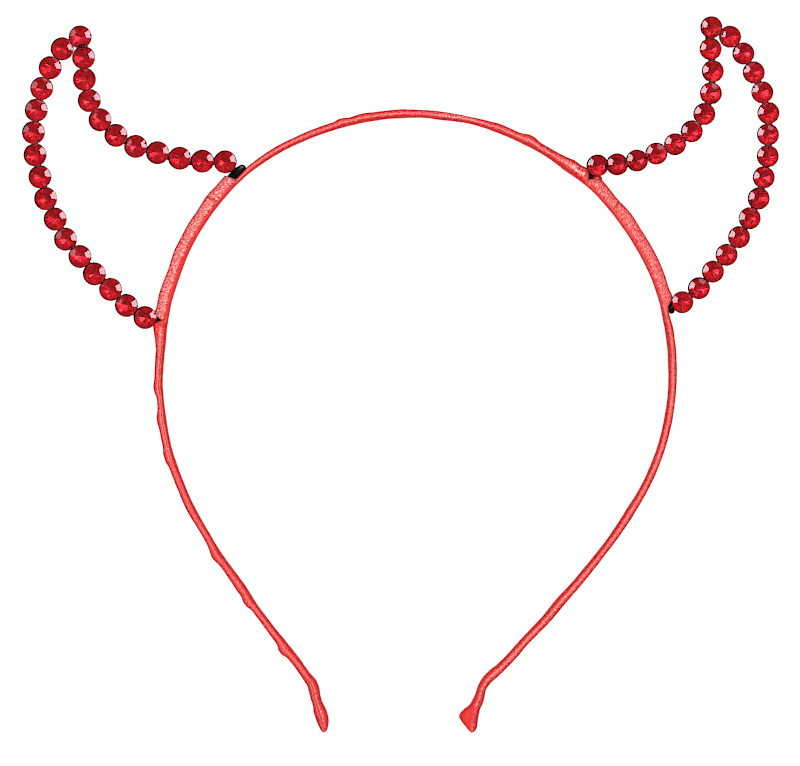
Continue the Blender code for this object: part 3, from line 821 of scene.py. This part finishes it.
def bent_strip(rows, thickness):
    """A small bar along a path in the XZ plane, a little narrower on its inner side."""
    path, widths = np.split(np.array(rows) * MM, [2], axis=1)
    ahead = np.gradient(path, axis=0)
    ahead /= np.linalg.norm(ahead, axis=1, keepdims=True)
    normal = np.stack([-ahead[:, 1], ahead[:, 0]], axis=-1) * thickness / 2
    half = widths[:, 0] / 2
    sides = [(path + normal, -half), (path + normal, half)]
    sides += [(path - normal, half * 0.8), (path - normal, -half * 0.8)]
    corners = [np.column_stack([flat[:, 0], y, flat[:, 1]]) for flat, y in sides]
    return np.stack(corners, axis=1).reshape(-1, 3), skin_faces(len(path), len(corners))


def claw_shapes():
    """Four claws, two to each side of the chain, bent over the stone's crown."""
    claw, faces = bent_strip(CLAW, 0.12 * MM)
    return set_down(claw, faces, np.zeros((4, 2)), headings(np.radians(CLAW_ANGLES)), 0)


def chain_places(horn, arms):
    """Each stone's place and its direction, moved aside where the chain sways."""
    distances = stone_distances(horn, arms)
    aside = np.zeros(len(distances))
    aside[list(horn.sway)] = list(horn.sway.values())
    return arms.offset(distances, aside * MM), arms.direction(distances)


def widened(horn):
    """How much larger than usual this horn's stones are across, at their usual height."""
    wider = horn.stone_radius / STONE_RADIUS
    return np.array([wider, wider, 1.0])


def chain_stones(horn, arms, glass, foil):
    """The stones. Each leans a little, and its back is turned and pointed in its own way."""
    places, _ = chain_places(horn, arms)
    count = len(places)
    chance = np.random.default_rng(horn.seed)
    shape, faces, kinds = stone_shape()
    shape = shape * widened(horn) * (STONE_IN_CUP, STONE_IN_CUP, 1)
    turn = math.radians(horn.facet_turn) + chance.uniform(-FACET_SPREAD, FACET_SPREAD, count)
    stones, faces = set_down(shape, faces, np.zeros((count, 2)), headings(turn), 0)
    stones = stones.reshape(count, -1, 3)
    back = stones[:, -BACK_POINTS:]
    back_turn = chance.uniform(-BACK_SPREAD, BACK_SPREAD, count)[:, None]
    cosine, sine = np.cos(back_turn), np.sin(back_turn)
    x, y = back[..., 0].copy(), back[..., 1].copy()
    back[..., 0] = x * cosine - y * sine
    back[..., 1] = x * sine + y * cosine
    back[:, -1, :2] += chance.uniform(-CULET_SPREAD, CULET_SPREAD, (count, 2)) * MM
    back[:, :-1, 2] -= chance.uniform(0, PAVILION_DROP, (count, GIRDLE_POINTS)) * MM
    tilt = np.radians(chance.uniform(-TILT_SPREAD, TILT_SPREAD, (count, 2)))
    stones[..., 2] += stones[..., 0] * tilt[:, :1] + stones[..., 1] * tilt[:, 1:]
    off = chance.uniform(-PLACE_SPREAD, PLACE_SPREAD, (count, 1, 2)) * MM
    stones[..., :2] += places[:, None, :] + off
    points = stones.reshape(-1, 3)
    made = piece("stones_" + horn.side, points, faces, [glass, foil], kinds * count)
    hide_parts("stone_chain_" + horn.side)
    return made


def chain_cups(horn, arms, black):
    """The black cups under the stones, with their claws, and a flat link between each two."""
    places, directions = chain_places(horn, arms)
    gaps = np.diff(places, axis=0)
    ahead = gaps / np.linalg.norm(gaps, axis=1, keepdims=True)
    shapes = []
    for shape, faces in (cup_shape(), claw_shapes()):
        shape = shape * widened(horn)
        shapes.append(set_down(shape, faces, places + CUP_SHIFT, directions, CHAIN_HEIGHT))
    link = bent_strip(LINK, 0.7 * MM)
    shapes.append(set_down(*link, places[:-1] + gaps / 2, ahead, CHAIN_HEIGHT))
    made = piece("cups_" + horn.side, *joined(shapes), [black])
    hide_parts("stone_chain_" + horn.side)
    made.data.set_sharp_from_angle(angle=math.radians(35))
    return made


# Materials
SATIN = ((0.75, 0.007, 0.009, 1), (0.93, 0.026, 0.023, 1))
SATIN_SIDE = ((0.74, 0.007, 0.010, 1), (0.95, 0.014, 0.018, 1))
# The satin's painted shade
SATIN_PAINTED_SHADE = (0.44, 0.010, 0.014, 1)
SATIN_GLOSS = (1.0, 0.60, 0.56, 1)
# Strokes of painted glint and of painted shade on the satin
PAINTED_GLINT = (1.0, 0.80, 0.76, 1)
PAINTED_SHADE_STROKE = (0.46, 0.006, 0.008, 1)
ENAMEL = ((0.003, 0.003, 0.004, 1), (0.012, 0.011, 0.012, 1))
RED_GLASS = ((0.95, 0.02, 0.035, 1), (0.99, 0.05, 0.07, 1))
MIRROR = ((0.86, 0.66, 0.68, 1), (0.95, 0.84, 0.86, 1))
SHEET = ((0.92, 0.92, 0.92, 1), (0.94, 0.94, 0.94, 1))


def new_material(name):
    made = bpy.data.materials.new(name)
    made.use_nodes = True
    return made, made.node_tree, made.node_tree.nodes["Principled BSDF"]


def connect(tree, made, inputs):
    """Gives a node's inputs their values, or links from other nodes' outputs."""
    for key, value in inputs.items():
        if isinstance(value, bpy.types.NodeSocket):
            tree.links.new(value, made.inputs[key])
        else:
            made.inputs[key].default_value = value


def node(tree, kind, inputs=(), **settings):
    made = tree.nodes.new(kind)
    for key, value in settings.items():
        setattr(made, key, value)
    connect(tree, made, dict(inputs))
    return made


def mixed(tree, share, low, high):
    """A colour between two, by a share from 0 to 1."""
    made = node(tree, "ShaderNodeMix", {0: share, 6: low, 7: high}, data_type="RGBA")
    return made.outputs[2]


def cloth_noise(tree, uv, scale, turn, detail):
    """Noise on the cloth, turned about Z and then stretched by a scale on each axis."""
    turned = node(tree, "ShaderNodeMapping", {"Vector": uv, "Rotation": (0, 0, turn)})
    place = node(tree, "ShaderNodeMapping", {"Vector": turned.outputs[0], "Scale": scale})
    settings = {"Vector": place.outputs[0], "Scale": 1.0, "Detail": detail, "Roughness": 0.6}
    return node(tree, "ShaderNodeTexNoise", settings).outputs["Fac"]


def solid_noise(tree, scale, detail):
    """Noise in the part's own space, at a scale in waves to the metre."""
    place = node(tree, "ShaderNodeTexCoord").outputs["Object"]
    settings = {"Vector": place, "Scale": scale, "Detail": detail}
    return node(tree, "ShaderNodeTexNoise", settings).outputs["Fac"]


def ramped(tree, value, low, high):
    """0 below low, 1 above high, and smooth between them."""
    settings = {"Value": value, "From Min": low, "From Max": high}
    return node(tree, "ShaderNodeMapRange", settings, interpolation_type="SMOOTHSTEP").outputs[0]


def between(tree, share, low, high):
    """A number between two, by a share from 0 to 1."""
    settings = {"Value": share, "To Min": low, "To Max": high}
    return node(tree, "ShaderNodeMapRange", settings).outputs[0]


def math_of(tree, operation, first, second):
    return node(tree, "ShaderNodeMath", {0: first, 1: second}, operation=operation).outputs[0]


def ribbon_satin():
    """Red satin: lengthwise threads, strokes of painted glint and painted shade where the ribbon is
    drawn over wire, painted shade as a deeper red where marked, and matt colour down the sides."""
    made, tree, shader = new_material("red_satin")
    uv = node(tree, "ShaderNodeUVMap", uv_map="ribbon").outputs["UV"]
    hollow, glitter, side = [
        node(tree, "ShaderNodeAttribute", attribute_name=mark).outputs["Fac"]
        for mark in ("hollow", "glitter", "side")
    ]
    threads = cloth_noise(tree, uv, (14, 90, 1), turn=0.0, detail=3.0)
    strokes = cloth_noise(tree, uv, (66, 14, 1), turn=0.75, detail=1.0)
    other_strokes = cloth_noise(tree, uv, (60, 14, 1), turn=-0.7, detail=1.0)
    # Strokes of painted glint (light) and painted shade (dark), as much as the mark asks for
    light = math_of(tree, "MULTIPLY", ramped(tree, strokes, 0.52, 0.57), glitter)
    dark = math_of(tree, "MULTIPLY", ramped(tree, other_strokes, 0.55, 0.62), glitter)

    red = mixed(tree, ramped(tree, threads, 0.35, 0.68), *SATIN)
    # Painted glints, then painted shade strokes, then the painted shade of the mark
    lit = mixed(tree, math_of(tree, "MULTIPLY", light, 0.9), red, PAINTED_GLINT)
    shaded = mixed(tree, math_of(tree, "MULTIPLY", dark, 0.8), lit, PAINTED_SHADE_STROKE)
    deep = mixed(tree, hollow, shaded, SATIN_PAINTED_SHADE)
    down_side = mixed(tree, ramped(tree, threads, 0.35, 0.62), *SATIN_SIDE)
    rough = between(tree, threads, 0.22, 0.34)
    duller = math_of(tree, "ADD", rough, math_of(tree, "MULTIPLY", side, 0.6))
    weave = {"Height": threads, "Strength": 0.5, "Distance": 0.08 * MM}
    woven = node(tree, "ShaderNodeBump", weave).outputs[0]
    pull = {"Height": light, "Strength": 0.4, "Distance": 0.06 * MM, "Normal": woven}
    looks = {
        "Base Color": mixed(tree, side, deep, down_side),
        "Roughness": duller,
        "Specular IOR Level": 0.4,
        "Specular Tint": SATIN_GLOSS,
        "Normal": node(tree, "ShaderNodeBump", pull).outputs[0],
    }
    connect(tree, shader, looks)
    return made


def black_enamel():
    """Gloss black enamel over metal, a little uneven where it has run."""
    made, tree, shader = new_material("black_enamel")
    runs = solid_noise(tree, 900.0, detail=2.0)
    bump = {"Height": runs, "Strength": 0.25, "Distance": 0.06 * MM}
    looks = {
        "Base Color": mixed(tree, runs, *ENAMEL),
        "Roughness": between(tree, runs, 0.14, 0.30),
        "Specular IOR Level": 0.5,
        "Normal": node(tree, "ShaderNodeBump", bump).outputs[0],
    }
    connect(tree, shader, looks)
    return made


def red_glass():
    """Clear deep red glass with slight swirls of colour."""
    made, tree, shader = new_material("red_glass")
    colour = mixed(tree, solid_noise(tree, 500.0, detail=1.0), *RED_GLASS)
    clear = {"Base Color": colour, "Roughness": 0.0, "Transmission Weight": 1.0, "IOR": 1.58}
    connect(tree, shader, clear)
    return made


def stone_foil():
    """The mirror foil behind a stone, seen through the glass."""
    made, tree, shader = new_material("stone_foil")
    colour = mixed(tree, solid_noise(tree, 1500.0, detail=2.0), *MIRROR)
    connect(tree, shader, {"Base Color": colour, "Metallic": 0.7, "Roughness": 0.18})
    return made


# Studio


def floor_sheet():
    """A plain white sheet under the part, which gloss and glass don't mirror."""
    size = 1.6
    mesh = bpy.data.meshes.new("floor")
    corners = [(-size, -size, 0), (size, -size, 0), (size, size, 0), (-size, size, 0)]
    mesh.from_pydata(corners, [], [(0, 1, 2, 3)])
    made = linked("floor", mesh)
    finish, tree, shader = new_material("white_sheet")
    colour = mixed(tree, solid_noise(tree, 300.0, detail=2.0), *SHEET)
    connect(tree, shader, {"Base Color": colour, "Roughness": 1.0, "Specular IOR Level": 0.0})
    mesh.materials.append(finish)
    made.visible_glossy = False
    made.visible_transmission = False
    return made


def softbox(name, place, aim, size, brightness, lit, shadow=True, tint=(1, 1, 1)):
    """A rectangle of even light that falls only on the pieces it is for.

    Its power is its brightness times pi times its area.
    """
    light = bpy.data.lights.new(name, "AREA")
    light.shape = "RECTANGLE"
    light.size, light.size_y = size
    light.energy = brightness * math.pi * size[0] * size[1]
    light.color = tint
    light.use_shadow = shadow
    made = linked(name, light)
    made.location = place
    made.rotation_mode = "QUATERNION"
    made.rotation_quaternion = (Vector(aim) - Vector(place)).to_track_quat("-Z", "Y")
    made.visible_camera = False
    group = bpy.data.collections.new(name + "_lights")
    for thing in lit:
        group.objects.link(thing)
    made.light_linking.receiver_collection = group
    return made


def seen_from(azimuth, elevation, distance):
    """A place seen from the part at an azimuth from +X and an elevation, in degrees."""
    turn, rise = math.radians(azimuth), math.radians(elevation)
    flat = distance * math.cos(rise)
    return flat * math.cos(turn), flat * math.sin(turn), distance * math.sin(rise)


def studio(ribbons, wires, stones):
    """Soft light on the ribbon from above, for its colour and its gloss apart, on the stones
    from all sides, and low lilac lights from the middle, which make them sparkle."""
    middle = (0, 0, 0)
    sheet = [floor_sheet()]
    softbox("sheet_light", (0, 0, 1.4), middle, (3.0, 3.0), 1.95, sheet, shadow=False)
    top = softbox("ribbon_top", (0, 0, 1.5), middle, (0.6, 0.6), 13.8, ribbons)
    top.visible_glossy = False
    gloss = softbox("ribbon_gloss", (0, 0, 1.5), middle, (0.35, 0.35), 94, ribbons)
    gloss.visible_diffuse = False
    softbox("wire_gloss", (-0.5, 0.6, 1.2), middle, (0.3, 0.3), 10, wires)
    for name, azimuth, elevation, size, brightness, lit in (
        ("ribbon_left", 180, 40, (0.6, 0.6), 1.2, ribbons),
        ("ribbon_right", 0, 40, (0.6, 0.6), 1.2, ribbons),
        ("stone_back", 90, 45, (1.0, 0.7), 4.3, stones + wires),
        ("stone_front", 270, 50, (0.9, 0.4), 1.2, stones),
        ("stone_left", 180, 50, (0.6, 0.5), 2.5, stones),
        ("stone_right", 0, 50, (0.6, 0.5), 2.5, stones),
    ):
        softbox(name, seen_from(azimuth, elevation, 1.0), middle, size, brightness, lit)
    left, right = stones
    lilac = (1.0, 0.84, 0.94)
    for name, chain, aside, azimuth, size, brightness in (
        ("left_sparkle", left, -0.07, 22, (0.45, 0.23), 10.5),
        ("right_sparkle", right, 0.07, 158, (0.45, 0.23), 10.5),
        ("left_dusk", left, -0.07, 145, (0.18, 0.12), 2.5),
        ("right_dusk", right, 0.07, 55, (0.18, 0.12), 2.5),
    ):
        place = seen_from(azimuth, 17, 0.6)
        softbox(name, place, (aside, 0.05, 0), size, brightness, [chain], tint=lilac)
    scene = bpy.context.scene
    scene.world = room()
    scene.view_settings.view_transform = "Standard"
    scene.cycles.max_bounces = 24
    scene.cycles.glossy_bounces = 16
    scene.cycles.transmission_bounces = 20


def room():
    """A white room, which gloss and glass see as dim, so that only the lights show in it."""
    world = bpy.data.worlds.new("room")
    world.use_nodes = True
    tree = world.node_tree
    path = node(tree, "ShaderNodeLightPath").outputs
    strength = 0.26
    for ray, more in (("Glossy", -0.22), ("Camera", 0.74), ("Transmission", 0.1)):
        seen = path[f"Is {ray} Ray"]
        strength = math_of(tree, "ADD", strength, math_of(tree, "MULTIPLY", seen, more))
    connect(tree, tree.nodes["Background"], {"Color": (1, 1, 1, 1), "Strength": strength})
    return world


def finishing():
    """A print's last step: the picture is made a little crisper."""
    scene = bpy.context.scene
    scene.use_nodes = True
    tree = scene.node_tree
    tree.nodes.clear()
    picture = node(tree, "CompositorNodeRLayers").outputs["Image"]
    inputs = {"Fac": CRISPNESS, "Image": picture}
    crisp = node(tree, "CompositorNodeFilter", inputs, filter_type="SHARPEN")
    node(tree, "CompositorNodeComposite", {"Image": crisp.outputs["Image"]})


def camera():
    """Straight above, long lens, framed as the photograph is: 192 mm wide at the stones."""
    view_width = 192.0 * MM
    middle = (-0.48 * MM, -1.87 * MM)
    distance = 1.2
    data = bpy.data.cameras.new("camera")
    data.sensor_width = 36
    data.lens = data.sensor_width * distance / view_width
    data.clip_start = 0.01
    made = linked("camera", data)
    made.location = (*middle, BAND_DEPTH + distance)
    bpy.context.scene.camera = made


def build():
    """Makes every piece, and returns the ribbons, the wires with the cups, and the stones."""
    hoop = Line(HOOP_FOOT + np.array(HOOP_LINE) * [HOOP_WIDTH, HOOP_HEIGHT])
    satin, black, glass, foil = ribbon_satin(), black_enamel(), red_glass(), stone_foil()
    ribbons = [satin_band(hoop, satin)]
    wires = []
    stones = []
    for horn in HORNS:
        arms = arms_line(horn, hoop)
        ribbons.append(horn_wrap(horn, hoop, satin))
        if horn.side == "right":
            ribbons.append(foot_binding(horn, hoop, satin))
        wires.append(horn_wire(horn, hoop, arms, black))
        stones.append(chain_stones(horn, arms, glass, foil))
        wires.append(chain_cups(horn, arms, black))
    return ribbons, wires, stones


studio(*build())
camera()
finishing()
